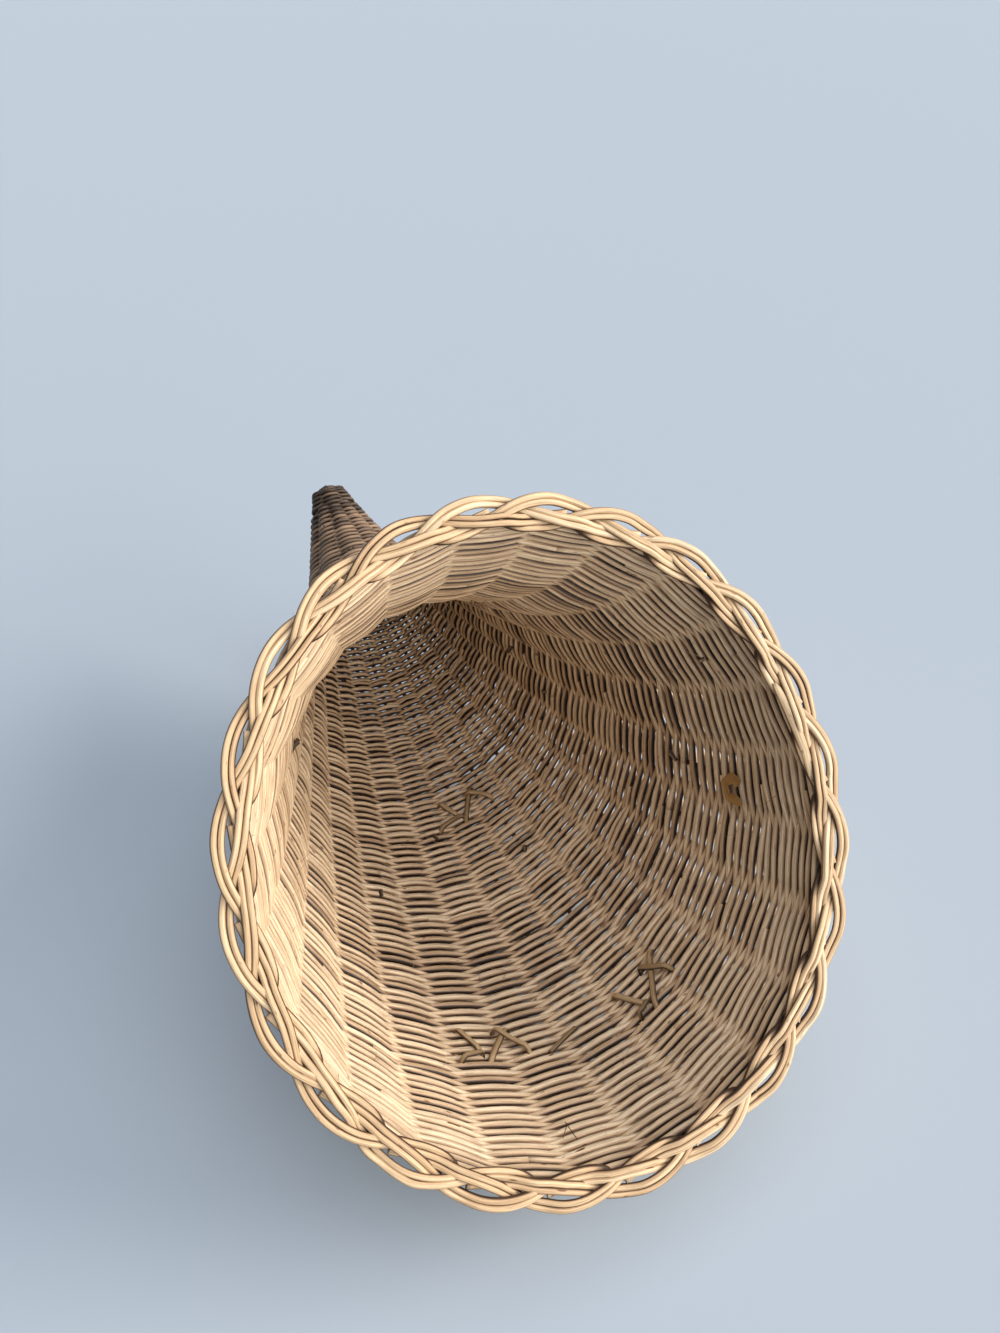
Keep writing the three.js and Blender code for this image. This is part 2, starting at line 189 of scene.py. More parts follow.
def cane_mesh(name, canes, material, sides=8):
    """One mesh of several canes: four-sided faces from ring to ring, and a flat cap on both ends of each."""
    turn = 2 * np.pi * np.arange(sides) / sides
    places, grains, tones, faces, caps, first = [], [], [], [], [], 0
    for one in canes:
        place, grain, tone = cane_rings(one, turn)
        places.append(place.reshape(-1, 3))
        grains.append(grain.reshape(-1, 3))
        tones.append(tone.ravel())
        n = len(place)
        i, k = np.meshgrid(np.arange(n - 1), np.arange(sides), indexing="ij")
        a, b = first + i * sides + k, first + i * sides + (k + 1) % sides
        faces.append(np.stack([a, b, b + sides, a + sides], -1).reshape(-1, 4))
        caps.append(first + np.arange(sides)[::-1])
        caps.append(first + (n - 1) * sides + np.arange(sides))
        first += n * sides
    quads = np.concatenate(faces)
    mesh = bpy.data.meshes.new(name)
    places = (np.concatenate(places) + MOUTH_CENTRE) / 1000
    mesh.from_pydata(places.tolist(), [], quads.tolist() + np.array(caps).tolist())
    smooth = np.ones(len(mesh.polygons), bool)
    smooth[len(quads):] = False
    mesh.polygons.foreach_set("use_smooth", smooth)
    mesh.attributes.new("grain", "FLOAT_VECTOR", "POINT").data.foreach_set(
        "vector", np.concatenate(grains).astype(np.float32).ravel())
    mesh.attributes.new("tone", "FLOAT", "POINT").data.foreach_set(
        "value", np.concatenate(tones).astype(np.float32))
    mesh.materials.append(material)
    piece = bpy.data.objects.new(name, mesh)
    bpy.context.scene.collection.objects.link(piece)
    print(name, len(canes), "canes,", 2 * len(quads), "triangles")
    return piece


# %% Dress a piece


def dress(piece, node=None):
    """The piece moves with the basket, and takes the place of the CAD node that it draws in full."""
    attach(piece, "root")
    if node:
        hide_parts(node)


# %% [markdown]
# ## Materials
#
# The cane is the peeled core of rattan, unvarnished: it has long open fibres, a soft waxy sheen and a colour
# from pale straw to tan, with brown specks where a leaf grew. The darker canes that hold the feet are the
# same core, aged. The bark chip is a piece of the glossy outer skin. An image of rattan would stretch round
# the bends and repeat. Noise read in millimetres along and across each cane doesn't: its fibres follow every
# bend.

# %% Material helpers


def linear(code):
    """sRGB hex to linear: c / 12.92 below 0.04045, else ((c + 0.055) / 1.055) ** 2.4."""
    c = np.array([int(code[i:i + 2], 16) for i in (1, 3, 5)]) / 255
    return (*np.where(c <= 0.04045, c / 12.92, ((c + 0.055) / 1.055) ** 2.4), 1.0)


def add_node(tree, kind, links=(), stops=(), **settings):
    """Adds a node. Settings name its properties, or its input sockets when the name starts with in_; links
    join (output socket, input name or number); stops are the places and colours of a ramp."""
    made = tree.nodes.new("ShaderNode" + kind)
    for key, value in settings.items():
        if key.startswith("in_"):
            made.inputs[key[3:].replace("_", " ")].default_value = value
        else:
            setattr(made, key, value)
    for i, (place, code) in enumerate(stops):
        stop = made.color_ramp.elements[i] if i < 2 else made.color_ramp.elements.new(place)
        stop.position, stop.color = place, linear(code)
    for source, target in links:
        tree.links.new(source, made.inputs[target])
    return made


def new_material(name, **settings):
    """A material whose settings stand on the shader's own sockets."""
    material = bpy.data.materials.new(name)
    material.use_nodes = True
    shader = material.node_tree.nodes["Principled BSDF"]
    for key, value in settings.items():
        shader.inputs[key.replace("_", " ")].default_value = value
    return material, material.node_tree, shader


print("mid grey is", round(linear("#808080")[0], 3), "in linear light")

# %% Cane material
FIBRES_PER_MM = (0.045, 1.6, 1.6)               # a fibre is 22 mm long and 0.6 mm wide
SHADES_PER_MM = (0.018, 0.1, 0.1)               # one shade of colour goes on for 55 mm
SPECKS_PER_MM = (0.13, 0.5, 0.5)                # the mark of a leaf is a few millimetres long
SHADE_RANGE = 0.36                              # of the tone
STREAKS = [(0.3, "#8d7563"), (0.6, "#ffffff")]  # colours that the fibre noise multiplies by
LEAF_MARKS = [(0.71, "#000000"), (0.78, "#ffffff")]  # share of brown that the speck noise gives
LEAF_BROWN = "#6d4a2c"
STREAK_SHARE, RELIEF = 0.75, 0.35
FIBRE_DEPTH = 0.0002                            # in metres


def cane_material(name, colours, roughness):
    """Peeled core cane. The ramp of colours, from dust and painted shade in the wall to the palest cane, is
    read at tone + shade range times (shade noise - 1/2). Its colour is multiplied by the fibres' streaks and
    turns to brown where the speck noise is highest."""
    material, tree, shader = new_material(name, IOR=1.45, Roughness=roughness)
    grain = add_node(tree, "Attribute", attribute_name="grain").outputs["Vector"]
    tone = add_node(tree, "Attribute", attribute_name="tone").outputs["Fac"]
    noises = []
    for per_mm, detail, unevenness in ((FIBRES_PER_MM, 5.0, 0.68), (SHADES_PER_MM, 2.0, 0.5),
                                       (SPECKS_PER_MM, 1.0, 0.5)):
        place = add_node(tree, "VectorMath", [(grain, 0)], operation="MULTIPLY")
        place.inputs[1].default_value = per_mm
        noises.append(add_node(tree, "TexNoise", [(place.outputs[0], "Vector")], in_Scale=1.0,
                               in_Detail=detail, in_Roughness=unevenness).outputs["Fac"])
    fibre, shade, speck = noises
    shifted = add_node(tree, "Math", [(shade, 0), (tone, 2)], operation="MULTIPLY_ADD")
    shifted.inputs[1].default_value = SHADE_RANGE
    steps = [(i / (len(colours) - 1), code) for i, code in enumerate(colours)]
    whole = add_node(tree, "Math", [(shifted.outputs[0], 0)], operation="SUBTRACT", use_clamp=True)
    whole.inputs[1].default_value = SHADE_RANGE / 2
    base = add_node(tree, "ValToRGB", [(whole.outputs[0], "Fac")], stops=steps).outputs["Color"]
    streak = add_node(tree, "ValToRGB", [(fibre, "Fac")], stops=STREAKS).outputs["Color"]
    streaked = add_node(tree, "MixRGB", [(base, 1), (streak, 2)], blend_type="MULTIPLY", in_Fac=STREAK_SHARE)
    spots = add_node(tree, "ValToRGB", [(speck, "Fac")], stops=LEAF_MARKS).outputs["Color"]
    spotted = add_node(tree, "MixRGB", [(spots, "Fac"), (streaked.outputs[0], 1)])
    spotted.inputs[2].default_value = linear(LEAF_BROWN)
    bump = add_node(tree, "Bump", [(fibre, "Height")], in_Strength=RELIEF, in_Distance=FIBRE_DEPTH)
    tree.links.new(spotted.outputs[0], shader.inputs["Base Color"])
    tree.links.new(bump.outputs["Normal"], shader.inputs["Normal"])
    return material


# %% Cane, aged cane and bark
# The first colour of each ramp is dust and painted shade in the wall, where darkened cane sides and hidden
# stakes fall.
border_cane = cane_material("peeled core cane, pale straw",
                            ["#4b3625", "#cfae86", "#e2c69e", "#f0dcba"], 0.55)
weaver_cane = cane_material("peeled core cane, tan",
                            ["#3a2b1e", "#b29579", "#e4c8a2", "#f5e2c2"], 0.54)
aged_cane = cane_material("peeled core cane, aged brown",
                          ["#3a2b1c", "#8a7356", "#b2976f", "#ccb28a"], 0.6)
rattan_bark, _, _ = new_material("rattan bark, glossy skin", Base_Color=linear("#a37c46"), Roughness=0.35,
                                 IOR=1.5)
print([material.name for material in bpy.data.materials])

# %% [markdown]
# ## The rows of the weave
#
# The horn bends upwards, so the way along its belly is more than half as long again as the way along its top.
# A weaver's thickness is the same everywhere, so the maker adds short rows on the belly that turn back at the
# sides.
# The simple choice, rows in the cross sections of the solids, would leave the belly open and crush the top.
# So the rows are planned here as on the real basket: full rows in pairs, and between the two rows of a pair
# up to three nested pairs of short rows, each present only where there is room for it.

# %% Plan the rows
PER_BAY = 6                                     # points of a row from one stake to the next
PITCH_PLACES, PITCHES = [0, 130, 230, 400], [2.8, 2.7, 2.2, 2.1]   # rows lie closer behind the belly
FIRST_ROW = 4.5                                 # close under the border, which is beaten down onto it
SHORT_PAIRS = (1, 2, 3)
GOLDEN_STEP = 0.618                             # spreads the turning places of the short rows evenly
SIDE_LEAN, TURN_ROOM = 0.35, 0.5                # rows: left against right, and from full to nothing at a turn
MEAN_OF_CELLS = np.array([1, 2, 3, 4, 5, 4, 3, 2, 1]) / 25
angles = FIRST_STAKE + np.arange(STAKES * PER_BAY) * PITCH_ANGLE / PER_BAY
fine = np.linspace(FIRST_ROW, WEAVE_END, 500)
surface = wall(fine[None, :], angles[:, None])
lengths = np.concatenate([np.zeros((len(angles), 1)),
                          np.linalg.norm(np.diff(surface, axis=1), axis=-1).cumsum(1)], 1)
pitch = np.interp(fine, PITCH_PLACES, PITCHES)
top_rows = np.concatenate([[0], (np.diff(lengths.min(0)) / pitch[1:]).cumsum()])
cells = int(round(top_rows[-1] / 2))
cell_ends = np.interp(np.linspace(0, top_rows[-1], cells + 1), top_rows, fine)
cell_marks = np.stack([np.interp(cell_ends, fine, row) for row in lengths], 1)  # along the wall, by angle
cell_sizes = np.diff(cell_marks, axis=0)
room = cell_sizes / np.interp(cell_ends[1:], PITCH_PLACES, PITCHES)[:, None]
stagger = ((np.arange(cells) * GOLDEN_STEP) % 1 - 0.5) * 2
lean = seeded.uniform(-SIDE_LEAN, SIDE_LEAN, cells)
print(cells, "cells, each a pair of full rows; the belly is",
      (lengths[:, -1].max() / lengths[:, -1].min()).round(1), "times as long as the top")

# %% Fill the cells with short rows


def presence(pair):
    """Share of a short pair in each cell at each angle: rises from 0 to 1 over the turn's room, where the
    room in the cell, less its stagger and its lean, passes 2 pair + 1."""
    excess = room - (2 * pair + 1) - stagger[:, None] - lean[:, None] * np.cos(angles)[None, :]
    return np.clip(excess / TURN_ROOM + 0.5, 0, 1)


nested = [np.ones_like(room)] + [presence(pair) for pair in SHORT_PAIRS]
order = nested + nested[::-1]                   # of the rows in a cell, a full one first and last
weights = np.stack(order, 1).reshape(-1, len(angles))     # rows by angle
row_cell = np.repeat(np.arange(cells), len(order))
row_side = np.tile(np.arange(len(order)) % 2, cells)      # which stakes it passes in front of
crowding = weights.reshape(cells, len(order), -1).sum(1) / cell_sizes      # rows per millimetre
padding = len(MEAN_OF_CELLS) // 2
padded = np.pad(crowding, ((padding, padding), (0, 0)), mode="edge")
spacing = 1 / sum(part * padded[i:i + cells] for i, part in enumerate(MEAN_OF_CELLS))
step = spacing[row_cell] * weights
reach = step.cumsum(0) - step / 2
reach *= lengths[:, -1] / step.sum(0)
print("row spacing", spacing.min().round(2), "to", spacing.max().round(2), "mm")

# %% [markdown]
# Each row then follows the wall and swings to its outside and inside: a cosine wave with one swing for each
# stake, so neighbouring rows are in opposite step. Soaked cane is soft and the maker beats the rows down
# until they touch, so a weaver is as wide as the room it has, over a stake more than where it crosses its
# neighbour. Near the mouth the rows on one side of a stake are 5.5 mm apart, at the back 4.4 mm. Real canes
# are a little uneven, so every row gets its own width and tone and wanders by a few tenths of a millimetre.

# %% Sizes of a row
THICKNESS = 3.5                                 # of a weaver, square to the wall
SWING = 2.05                                    # to each side of the stakes, pressed 1 mm into them
HALF_WIDTH, STAKE_GAIN = 0.55, 0.22             # shares of the room: between stakes, and more over one
NARROWEST, WIDEST = 1.0, 2.2                    # half widths
LEAST_SHARE = 0.12                              # a short row turns back where its share is less
SHORTEST_ROW = 3                                # stakes
LEAST_ROOM = 0.4                                # share of the room that is left where a short row turns
ROW_WANDER, SWING_WANDER = 0.16, 0.05           # in mm, and as a share of the swing
WIDTH_SPREAD, WIDTH_WANDER = 0.03, 0.02         # shares of the half width, from row to row and within one
TONE_SPREAD, SPREAD_LOSS = 0.17, 0.1            # from row to row, and how much less at the tip
TONE_LOSS, TONE_LIMITS = 0.0003, (0.45, 1.3)    # darker for each mm towards the tip: partly painted shade of the deep inside and the tail, partly browner cane
PAINTED_SHADE_FROM, PAINTED_SHADE_OVER = 190, 200               # where the painted shade of the tail begins, and its way to full
PAINTED_SHADE_ALL_ROUND, PAINTED_SHADE_OUTSIDE = 0.3, 0.52        # painted shade, taken from the tone at the tip: all round, and on the outside
WAVES, WAVE_TURNS, WAVE_STRENGTH = 5, (1, 12), 0.6


def stakes_here(s):
    """All stakes, then every second, then every fourth."""
    return STAKES if s < HALVED else STAKES // 2 if s < QUARTERED else STAKES // 4


def wander(count, size):
    """Slow uneven line: the sum of a few sine waves, strength sin(turns angle + phase), all three random."""
    turns = np.linspace(0, 2 * np.pi, count)
    waves = seeded.integers(*WAVE_TURNS, WAVES)[:, None] * turns + seeded.uniform(0, 2 * np.pi, (WAVES, 1))
    return size * (seeded.normal(0, WAVE_STRENGTH, (WAVES, 1)) * np.sin(waves)).sum(0)


print("a weaver is", (2 * HALF_WIDTH * spacing.mean()).round(1), "mm wide between stakes and",
      (2 * (HALF_WIDTH + STAKE_GAIN) * spacing.mean()).round(1), "mm over them")

# %% Weave the rows


def short_span(there):
    """Points of a short row, from the stake nearest to its turn on one side to the stake on the other."""
    count = len(angles)
    middle = np.flatnonzero(there).mean() if not there[0] else np.flatnonzero(~there).mean() + count / 2
    first = next(i for i in range(int(middle), int(middle) - count, -1) if not there[i % count])
    last = next(i for i in range(int(middle), int(middle) + count) if not there[i % count])
    return np.arange(round(first / PER_BAY) * PER_BAY, round(last / PER_BAY) * PER_BAY + 1)


def woven_row(index):
    """Cane of one row, with its mean place: offset = swing times cos(half the stakes here times the angle),
    half a turn further on in every second row; half width = room times (share between + gain |cos|)."""
    share = weights[index]
    there = share > LEAST_SHARE
    if there.sum() < (SHORTEST_ROW + 1) * PER_BAY:
        return None
    if there.all():
        span = seeded.integers(STAKES) * PER_BAY + np.arange(len(angles) + 1)
    else:
        span = short_span(there)
        if len(span) <= SHORTEST_ROW * PER_BAY:
            return None
    at = span % len(angles)
    away = reach[index][at] + wander(len(span), ROW_WANDER)
    s = np.array([np.interp(way, lengths[i], fine) for way, i in zip(away, at)])
    angle = FIRST_STAKE + span * PITCH_ANGLE / PER_BAY
    swing = np.cos(stakes_here(s.mean()) / 2 * (angle - FIRST_STAKE) + np.pi * row_side[index])
    offset = SWING * swing * (1 + SWING_WANDER * wander(len(span), 1.0))
    room_here = spacing[row_cell[index]][at] * (LEAST_ROOM + (1 - LEAST_ROOM) * share[at])
    width = room_here * (HALF_WIDTH + STAKE_GAIN * np.abs(swing))
    uneven = seeded.normal(1.0, WIDTH_SPREAD) + wander(len(span), WIDTH_WANDER)
    radius = np.clip(width, NARROWEST, WIDEST) * uneven
    # The rows of the tail get painted shade: darker towards the tip all round, and more on their outside.
    tail_painted_shade = np.clip((s.mean() - PAINTED_SHADE_FROM) / PAINTED_SHADE_OVER, 0, 1)
    tone = np.clip(seeded.normal(1.0, TONE_SPREAD - SPREAD_LOSS * tail_painted_shade) - TONE_LOSS * s.mean(), *TONE_LIMITS)
    return s.mean(), cane(wall(s, angle, offset), outward(s, angle), radius, tone - PAINTED_SHADE_ALL_ROUND * tail_painted_shade,
                          THICKNESS / 2 / radius, swing, PAINTED_SHADE_OUTSIDE * tail_painted_shade)


rows = [row for row in map(woven_row, range(len(weights))) if row]
print(len(rows), "rows woven")

# %% Courses of the wall
COURSES = {"mouth_weave": (0, 108), "middle_weave": (108, 212), "rear_weave": (212, HALVED),
           "tail_weave": (HALVED, QUARTERED), "tip_weave": (QUARTERED, SPINE_LENGTH)}
CLOSING_RADIUS, CLOSING_TONE = 1.35, 0.18
closing_turn = np.linspace(0, 6 * np.pi, 60)    # the last cane winds three times round and closes the tip
closing_s = np.linspace(402.6, 406.2, 60)
closing_offset = np.linspace(-1.6, -7.2, 60)
closing = cane(wall(closing_s, closing_turn, closing_offset), outward(closing_s, closing_turn),
               CLOSING_RADIUS, CLOSING_TONE)
for node, (low, high) in COURSES.items():
    canes = [one for s, one in rows if low <= s < high] + [closing] * (node == "tip_weave")
    dress(cane_mesh(f"{node}_canes", canes, weaver_cane), node)

# %% [markdown]
# ## The stakes and the plaited border
#
# A flat plait of three strands is two waves: each strand swings from side to side once while it goes over
# and under twice. A stake comes up under the inner edge of the band, joins its strand there as a third cane,
# runs on for seven scallops and is cut off where an outer arc begins. So an outer arc has two canes side by
# side and the inner part of the band has three. Each new cane pushes the older ones one place outwards.
# Curves drawn by hand would need 24 copies that never quite close round an oval. Two waves along it do.

# %% Sizes of the border
SCALLOPS = 7                                    # that a stake runs through, to its cut end
STRAND_STEP = 2.8                               # from cane to cane in a strand
OUTER_SWAY, INNER_SWAY, LIFT = 6.5, 4.4, 1.6
SEAT = -0.7                                     # the plait is beaten down onto the weave
BORDER_RADIUS = 1.52
UNEVEN = 0.12
SLOT_PLACES = [0.8, 1.2, 2.7, 3.1, 3.8, 4.2, 5.7, 6.1]  # scallops where a cane is pushed on
SLOTS = [-1, -0.5, -0.5, 0, 0, 0.5, 0.5, 1]     # its place in the strand, from the innermost
TURN_SCALLOPS = np.array([0.01, 0.1, 0.26])     # where a stake turns over the edge: how far on,
TURN_OUT = np.array([-0.9, -3.9, -6.3])         # how far out from the oval
TURN_UP = np.array([-5.6, -4.0, -2.6])          # and how far off the wall
border_centre, border_top = (v[0] for v in spine(np.zeros(1)))
off_wall = np.cross(ACROSS, border_top)


def border(scallops, out, up):
    """Point of the border: on the mouth's oval at that many scallops, out along the oval's normal and up off
    the wall."""
    a = FIRST_STAKE - scallops * PITCH_ANGLE
    normal = unit(np.stack([np.cos(a) / MOUTH_HALF_WIDTH, np.sin(a) / MOUTH_HALF_HEIGHT], -1))
    x = MOUTH_HALF_WIDTH * np.cos(a) + normal[..., 0] * out
    y = MOUTH_HALF_HEIGHT * np.sin(a) + normal[..., 1] * out
    return border_centre + x[..., None] * ACROSS + y[..., None] * border_top + up[..., None] * off_wall


print("the border's first turn is at", border(TURN_SCALLOPS, TURN_OUT, TURN_UP)[0].round(1))

# %% Plait the stakes
WALL_TOP, STAKE_STEP = 7.0, 8                   # a stake's last point in the wall, and its points' distance
SMOOTH = 3                                      # smooth points for each point given
HIDDEN_RADIUS = 0.95 * STAKE_RADIUS             # squeezed by the weave
JOINS, PLAIT_STEP, END_GAP = 0.5, 0.1, 0.02     # scallops: joins its strand, and its points in the plait
STEEP = 2                                       # how quickly a strand goes over and under
FREE_OVER = 3.5                                 # points, from hidden in the wall to free in the border
STAKE_TONE, TONE_UNEVEN, STAKE_TONES = 0.74, 0.16, (0.45, 1)
RADIUS_UNEVEN, FLATTEST = 0.05, 0.2


def plait(index):
    """Stake in the border: sway sin(phase), lift tanh(2 sin(2 phase)), phase from 240 degrees on by a third
    of a turn for each scallop, and the place in the strand from the innermost to the outermost."""
    t = np.arange(JOINS, SCALLOPS - END_GAP, PLAIT_STEP)
    phase = 2 * np.pi * (t / 3 + 2 / 3)
    sway = np.sin(phase) * np.where(np.sin(phase) > 0, OUTER_SWAY, INNER_SWAY)
    slot = np.interp(t, SLOT_PLACES, SLOTS)
    lift = SEAT + LIFT * np.tanh(STEEP * np.sin(2 * phase)) / np.tanh(STEEP)
    uneven = seeded.uniform(-UNEVEN, UNEVEN, 2)
    keep = t < SCALLOPS - seeded.uniform(0, UNEVEN)
    return border(index + t, sway + STRAND_STEP * slot + wander(len(t), UNEVEN) + uneven[0],
                  lift + wander(len(t), UNEVEN) + uneven[1])[keep]


def stake(index):
    """Smooth line through the wall, the turn and the plait. Free goes from 0 in the wall to 1 in the border,
    and takes tone and radius from those of a hidden stake, painted darkest as shade, to those of the border."""
    end = WEAVE_END + 1 if index % 4 == 0 else QUARTERED if index % 2 == 0 else HALVED
    s = np.linspace(end, WALL_TOP, int(end / STAKE_STEP))
    angle = np.full_like(s, stake_angle(index))
    turn = border(index + TURN_SCALLOPS, TURN_OUT, TURN_UP)
    points = smooth_line(np.concatenate([wall(s, angle), turn, plait(index)[::2]]), SMOOTH)
    place = np.arange(len(points))
    free = np.clip((place / SMOOTH - (len(s) - 1)) / FREE_OVER, 0, 1)
    up = np.concatenate([outward(s, angle), off_wall[None]])[np.minimum(place // SMOOTH, len(s))]
    # In the wall a stake's tone is -1, the darkest colour: painted shade in the slots between the rows.
    tone = -1 + free * (1 + np.clip(seeded.normal(STAKE_TONE, TONE_UNEVEN), *STAKE_TONES))
    radius = HIDDEN_RADIUS + free * (BORDER_RADIUS * seeded.normal(1, RADIUS_UNEVEN) - HIDDEN_RADIUS)
    return cane(points, up, radius, tone, 1 - free * seeded.uniform(0, FLATTEST))


for index in range(STAKES):
    node = f"stake_{index + 1:02d}"
    dress(cane_mesh(f"{node}_cane", [stake(index)], border_cane, sides=12), node)

# %% [markdown]
# ## Feet and ties
#
# A horn with a round belly rolls, so it stands on three low feet of thicker cane, bent square. Their ends
# come up through the wall, and inside the basket a darker cane is laced across them in four short strokes,
# two of them crossed. Only these strokes show in the photograph. A foot could be a bevelled curve with
# rounded corners, but as a line of points it goes through the same cane function as all the rest.

# %% Feet
TABLE = -MOUTH_CENTRE[2]
BELLY = np.radians(-90.0)                       # the lowest line of the wall
FOOT_RADIUS, SOLE_WEAR, CORNER = 2.2, 0.6, 7.0
FOOT_TONE = 0.35
FEET = {                                        # place from the mouth, and stakes from the belly's line
    "front_left": (67.0, -2, -1),
    "front_right": (67.0, 1, 2),
    "rear": (197.0, -1, 1),
}


def foot_line(setback, bays):
    """A square U: two upright legs, two quarter circles and the sole. A quarter circle's points lie corner
    (1 - cos(turn)) along the sole and corner (1 - sin(turn)) above it."""
    ends = wall(np.full(2, setback), BELLY + np.array(bays) * PITCH_ANGLE, 1.0)
    along = unit((ends[1] - ends[0]) * [1, 1, 0])
    low = TABLE + FOOT_RADIUS - SOLE_WEAR
    turn = np.linspace(0, np.pi / 2, 8)
    bend = [end + sign * CORNER * (1 - np.cos(turn))[:, None] * along for end, sign in zip(ends, (1, -1))]
    for one in bend:
        one[:, 2] = low + CORNER * (1 - np.sin(turn))
    return np.concatenate([ends[:1], bend[0], bend[1][::-1], ends[1:]]), along


for where, (setback, *bays) in FEET.items():
    line, along = foot_line(setback, bays)
    foot = cane(line, np.cross([0, 0, 1], along), FOOT_RADIUS, FOOT_TONE)
    piece = cane_mesh(f"foot_{where}_cane", [foot], border_cane, sides=16)
    points = np.empty(len(piece.data.vertices) * 3)
    piece.data.vertices.foreach_get("co", points)
    points[2::3] = np.maximum(points[2::3], 0)  # the sole is worn flat on the table
    piece.data.vertices.foreach_set("co", points)
    dress(piece, f"foot_{where}")

# %% [markdown]
# Each stroke of a tie comes out of the weave, lies over it in a low arch and goes back in. Across is along
# the rows and deep is towards the tail, both from the middle of the foot.

# %% Ties
STROKES = {                                     # start and end, across and deep, and how many lie under it
    "front_left": [((-9, 13), (1, 1), 0), ((-11, -3), (2, 0), 1),
                   ((4, -4), (21, 12), 0), ((12, 12), (27, -2), 2)],
    "front_right": [((21, 8), (1, -13), 0), ((8, 5), (21, -6), 2),
                    ((-12, 5), (-1, -10), 0), ((-8, -11), (1, -9), 1)],
    "rear": [((0, 5), (8, -5), 0), ((-7, -10), (12, -7), 1),
             ((11, -10), (25, 6), 0), ((20, 3), (34, -6), 2)],
}
TIE_RADIUS, TIE_FLAT, TIE_TONES = 1.75, 0.6, (0.5, 1.1)
IN_WEAVE, ARCH, OVER_ONE = -1.0, 3.9, 0.9       # its ends, its height, and more height for each one under it
RAMP, ROUNDING = 3.2, 0.8
TIE_BEND = 1.2                                  # sideways, at most


def stroke(setback, middle, start, end, over):
    """Arch over the inside of the wall: offset = ends - (height + over times more) min(1, ramp sin(pi t)) to
    the power of the rounding."""
    t = np.linspace(0, 1, 14)
    across_mm = start[0] + (end[0] - start[0]) * t
    deep = start[1] + (end[1] - start[1]) * t + seeded.uniform(-TIE_BEND, TIE_BEND) * np.sin(np.pi * t)
    angle = middle + across_mm / half_sizes(setback)[0]
    offset = IN_WEAVE - (ARCH + OVER_ONE * over) * np.minimum(1, RAMP * np.sin(np.pi * t)) ** ROUNDING
    s = setback + deep
    return cane(wall(s, angle, offset), outward(s, angle), TIE_RADIUS, seeded.uniform(*TIE_TONES), TIE_FLAT)


for where, (setback, *bays) in FEET.items():
    middle = BELLY + np.mean(bays) * PITCH_ANGLE
    canes = [stroke(setback, middle, *one) for one in STROKES[where]]
    dress(cane_mesh(f"tie_{where}_canes", canes, aged_cane, sides=10), f"tie_{where}")

# %% [markdown]
# ## Small signs of handwork
#
# Where one weaver ran out and the next began, cut ends stand a little proud inside the wall. A few fibres
# have split off the canes. Hair particles could make the fibres, but they are few, so each is one thin cane.

# %% Cut ends
CUT_ENDS = 11
END_PLACES, END_LENGTHS, END_TONES = (25, 230), (3, 7), (0.2, 0.6)
BESIDE = 0.1                                    # pitches from a stake, at most
END_BASE, END_RISE, END_SLOPE = 2.8, 2.6, 0.3   # inwards at the start, more at the end, and deeper by length
END_RADIUS = 1.3


def cut_end():
    """Short straight cane close to a stake: angle + t length lean / half width, place + t length slope, and
    inwards by base + rise t."""
    s = seeded.uniform(*END_PLACES)
    angle = stake_angle(seeded.integers(STAKES)) + seeded.uniform(-BESIDE, BESIDE) * PITCH_ANGLE
    long = seeded.uniform(*END_LENGTHS)
    lean = seeded.uniform(-1, 1)
    t = np.linspace(0, 1, 4)
    turn = angle + t * long * lean / half_sizes(s)[0]
    deep = s + t * long * END_SLOPE
    return cane(wall(deep, turn, -END_BASE - END_RISE * t), outward(deep, turn), END_RADIUS,
                seeded.uniform(*END_TONES))


# One longer end lies across the rows between the two front ties.
long_s = np.linspace(62, 68, 6)
long_turn = np.radians(np.linspace(-95, -86, 6))
long_rise = -5.0 + 0.8 * np.linspace(-1, 1, 6) ** 2
long_end = cane(wall(long_s, long_turn, long_rise), outward(long_s, long_turn),
                radius=1.6, tone=0.6, flat=0.6)
cut_ends = [cut_end() for _ in range(CUT_ENDS)]
dress(cane_mesh("cut_weaver_ends", cut_ends + [long_end], aged_cane))

# %% Loose fibres
LOOSE_FIBRES = 110
INSIDE_SHARE = 0.6
INSIDE_PLACES, OUTSIDE_PLACES = (2, 200), (2, 320)
FACE = 4.0                                      # of the weave, from the middle of the wall
FIBRE_LENGTHS, FIBRE_TONES = (4, 16), (0.4, 1)
FIBRE_RADII = (0.14, 0.05)                      # from root to tip
STAND_OFF, CURL = 0.5, 0.35
FIBRE_POINTS = 8
CROSSED = (                                     # two dark ones: place, degrees and offset of both ends
    ([21.0, 25.6], [-103.5, -101.2], [-4.6, -6.2]),
    ([26.4, 18.7], [-101.5, -100.9], [-6.2, -4.6]),
)


def fibre():
    """Thin tapering cane: root + length (t direction + curl t squared), with a random direction that leans
    off the wall."""
    inside = seeded.random() < INSIDE_SHARE
    s = np.full(FIBRE_POINTS, seeded.uniform(*(INSIDE_PLACES if inside else OUTSIDE_PLACES)))
    angle = np.full(FIBRE_POINTS, seeded.uniform(0, 2 * np.pi if inside else np.pi))
    sign = -1 if inside else 1
    root = wall(s, angle, sign * FACE)[0]
    t = np.linspace(0, 1, FIBRE_POINTS)[:, None]
    long = seeded.uniform(*FIBRE_LENGTHS)
    tangent = unit(seeded.normal(size=3))
    curl = unit(seeded.normal(size=3))
    away = outward(s, angle)[0] * sign
    line = root + long * (t * unit(tangent + STAND_OFF * away) + CURL * curl * t**2)
    beside = np.roll(tangent, 1) + 0.01         # any direction but the fibre's own
    return cane(line, beside, np.linspace(*FIBRE_RADII, FIBRE_POINTS), seeded.uniform(*FIBRE_TONES))


